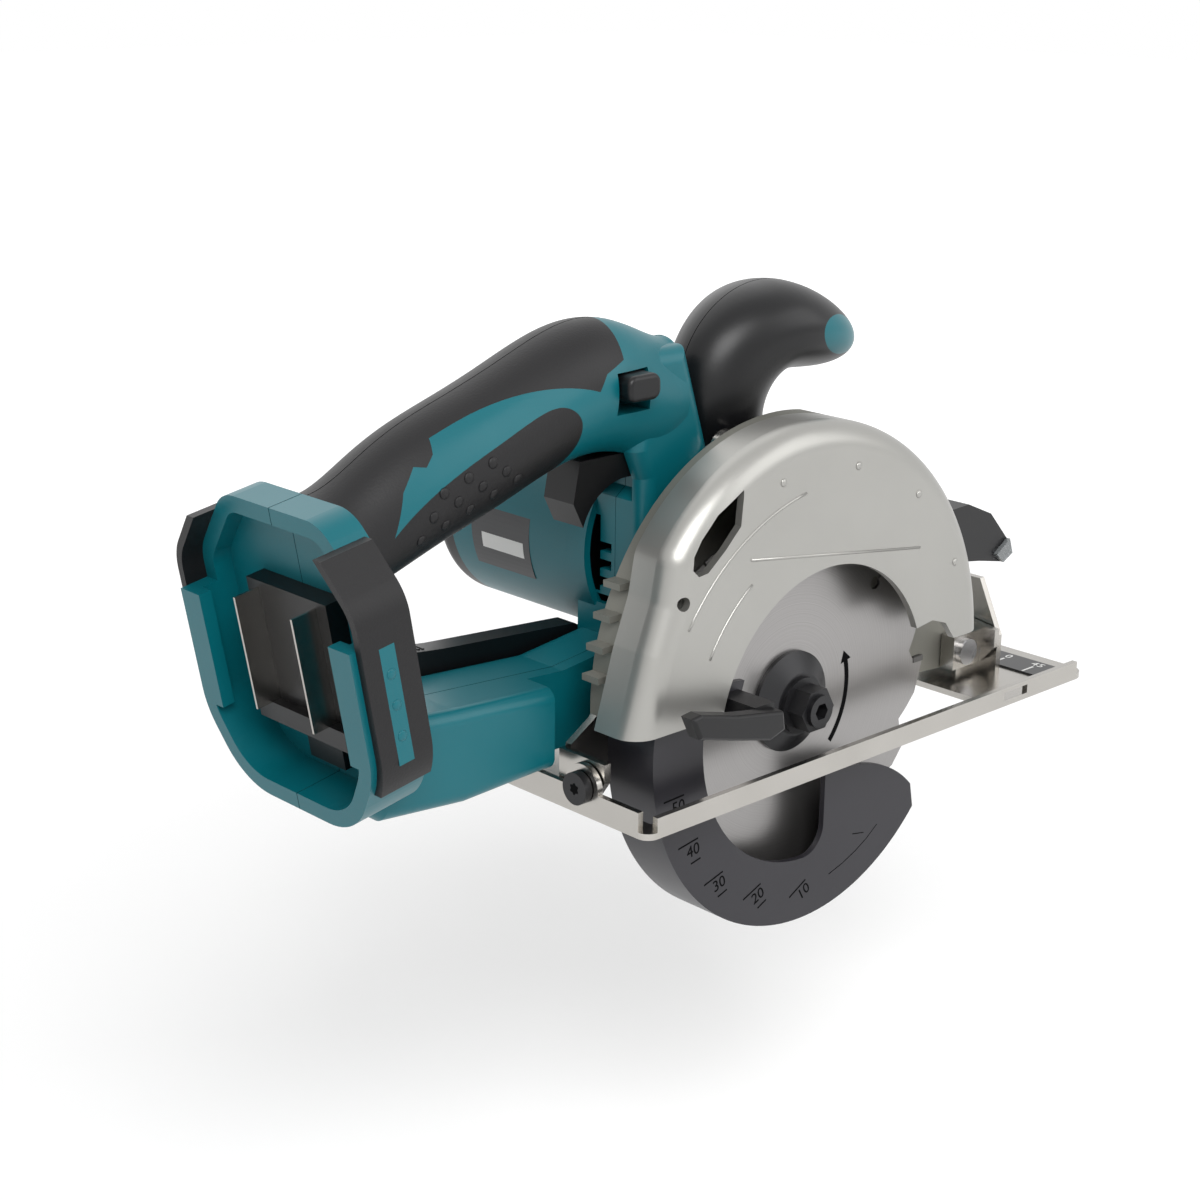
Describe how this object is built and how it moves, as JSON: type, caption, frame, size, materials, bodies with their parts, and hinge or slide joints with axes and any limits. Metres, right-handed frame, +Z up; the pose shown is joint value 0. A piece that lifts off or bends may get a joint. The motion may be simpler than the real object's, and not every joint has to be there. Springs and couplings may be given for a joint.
{
  "type": "cordless circular saw",
  "caption": "Handheld cordless circular saw without battery: D-handle housing, toothed blade in fixed and retracting guards, sheet steel base with depth and bevel adjustment.",
  "frame": {"origin": "on the sole plane of the base, straight under the arbor, in the parting plane of the housing halves", "axes": "+X forward in the direction of cut, +Y left to the motor side, +Z up"},
  "size_m": [0.3114, 0.145, 0.1991],
  "materials": {
    "teal_plastic": "moulded, satin",
    "black_elastomer": "fine grain",
    "black_plastic": "moulded, satin",
    "cast_aluminium": "die cast, blasted",
    "dark_grey_metal": "satin paint",
    "blade_steel": "brushed",
    "black_steel": "black oxide",
    "machined_steel": "machined",
    "nickel_steel": "nickel plated",
    "copper": "turned copper",
    "magnet": "ferrite",
    "carbon": "pressed carbon",
    "white_label": "printed",
    "clear_lens": "clear"
  },
  "bodies": {
    "saw_body": {"brush_holder": "black_plastic", "carbon_brushes": "carbon", "contact_blades": "nickel_steel", "depth_pivot_pin": "machined_steel", "foot_bumpers": "black_elastomer", "foot_strips": "teal_plastic", "gear_cover": "cast_aluminium", "gear_housing": "cast_aluminium", "grip_left": "black_elastomer", "grip_right": "black_elastomer", "guard_back": "dark_grey_metal", "guard_retaining_ring": "black_steel", "guard_screws": "black_steel", "housing_left": "teal_plastic", "housing_right": "teal_plastic", "housing_screws": "black_steel", "knob_inserts": "teal_plastic", "knob_left": "black_plastic", "knob_right": "black_plastic", "lamp_housing": "black_plastic", "lamp_lens": "clear_lens", "motor_bearings": "machined_steel", "motor_end_cap": "black_plastic", "motor_housing": "teal_plastic", "motor_magnets": "magnet", "motor_yoke": "machined_steel", "spindle_bearings": "machined_steel", "switch_unit": "black_plastic", "terminal_block": "black_plastic", "upper_guard": "cast_aluminium"},
    "blade_group": {"saw_blade": "blade_steel", "inner_flange": "black_steel", "outer_flange": "black_steel", "blade_bolt": "black_steel", "spindle": "machined_steel", "spindle_gear": "machined_steel"},
    "layshaft": {"layshaft_gear": "machined_steel"},
    "rotor": {"motor_shaft": "machined_steel", "armature_core": "machined_steel", "commutator": "copper", "cooling_fan": "black_plastic"},
    "lower_guard_group": {"lower_guard": "dark_grey_metal", "guard_lever": "black_plastic"},
    "trigger": {"trigger": "black_plastic"},
    "lock_off": {"lock_off_lever": "black_elastomer"},
    "shaft_lock": {"shaft_lock": "black_plastic"},
    "depth_frame": {"depth_guide": "nickel_steel", "front_hinge": "nickel_steel", "bevel_pin": "machined_steel", "bevel_screw": "black_steel"},
    "base": {"base_plate": "nickel_steel", "bevel_quadrant": "nickel_steel", "sight_label": "white_label"},
    "bevel_clamp": {"bevel_clamp_lever": "black_steel"},
    "depth_lock": {"depth_lock_lever": "black_plastic", "depth_clamp_bolt": "black_steel"},
    "fence_screw": {"fence_screw": "nickel_steel"}
  },
  "joints": [
    {"name": "blade_spin", "type": "hinge", "parent": "saw_body", "child": "blade_group", "pos_m": [0, -0.0315, 0.017], "axis": [0, 1, 0], "continuous": true},
    {"name": "layshaft_spin", "type": "hinge", "parent": "saw_body", "child": "layshaft", "pos_m": [-0.00776, -0.004, 0.03812], "axis": [0, 1, 0], "continuous": true},
    {"name": "motor_spin", "type": "hinge", "parent": "saw_body", "child": "rotor", "pos_m": [-0.018, 0.04, 0.066], "axis": [0, 1, 0], "continuous": true},
    {"name": "lower_guard_swing", "type": "hinge", "parent": "saw_body", "child": "lower_guard_group", "pos_m": [0, -0.0315, 0.017], "axis": [0, 1, 0], "range_deg": [0, 135], "stiffness_Nm_per_rad": 0.05},
    {"name": "trigger_squeeze", "type": "hinge", "parent": "saw_body", "child": "trigger", "pos_m": [-0.046, 0, 0.098], "axis": [0, 1, 0], "range_deg": [0, 8], "stiffness_Nm_per_rad": 1},
    {"name": "lock_off_press", "type": "slide", "parent": "saw_body", "child": "lock_off", "axis": [0, 0, -1], "range_m": [0, 0.0035], "stiffness_N_per_m": 500},
    {"name": "shaft_lock_push", "type": "slide", "parent": "saw_body", "child": "shaft_lock", "axis": [-1, 0, 0], "range_m": [0, 0.0024], "stiffness_N_per_m": 800},
    {"name": "depth_swing", "type": "hinge", "parent": "saw_body", "child": "depth_frame", "pos_m": [0.096, -0.015, 0.011], "axis": [0, -1, 0], "range_deg": [0, 29]},
    {"name": "bevel_tilt", "type": "hinge", "parent": "depth_frame", "child": "base", "pos_m": [0, -0.0265, 0.009], "axis": [-1, 0, 0], "range_deg": [0, 45]},
    {"name": "bevel_clamp_turn", "type": "hinge", "parent": "depth_frame", "child": "bevel_clamp", "pos_m": [0.111, -0.00771, 0.01584], "axis": [-1, 0, 0], "range_deg": [0, 40]},
    {"name": "depth_lock_turn", "type": "hinge", "parent": "saw_body", "child": "depth_lock", "pos_m": [-0.0415, 0, 0.033], "axis": [0, -1, 0], "range_deg": [0, 25]},
    {"name": "fence_screw_turn", "type": "hinge", "parent": "base", "child": "fence_screw", "pos_m": [0.0915, 0.016, 0], "axis": [0, 0, 1], "continuous": true}
  ],
  "couplings": [
    {"joint": "layshaft_spin", "follows": "blade_spin", "ratio": -0.92308},
    {"joint": "motor_spin", "follows": "blade_spin", "ratio": 5.1692}
  ]
}
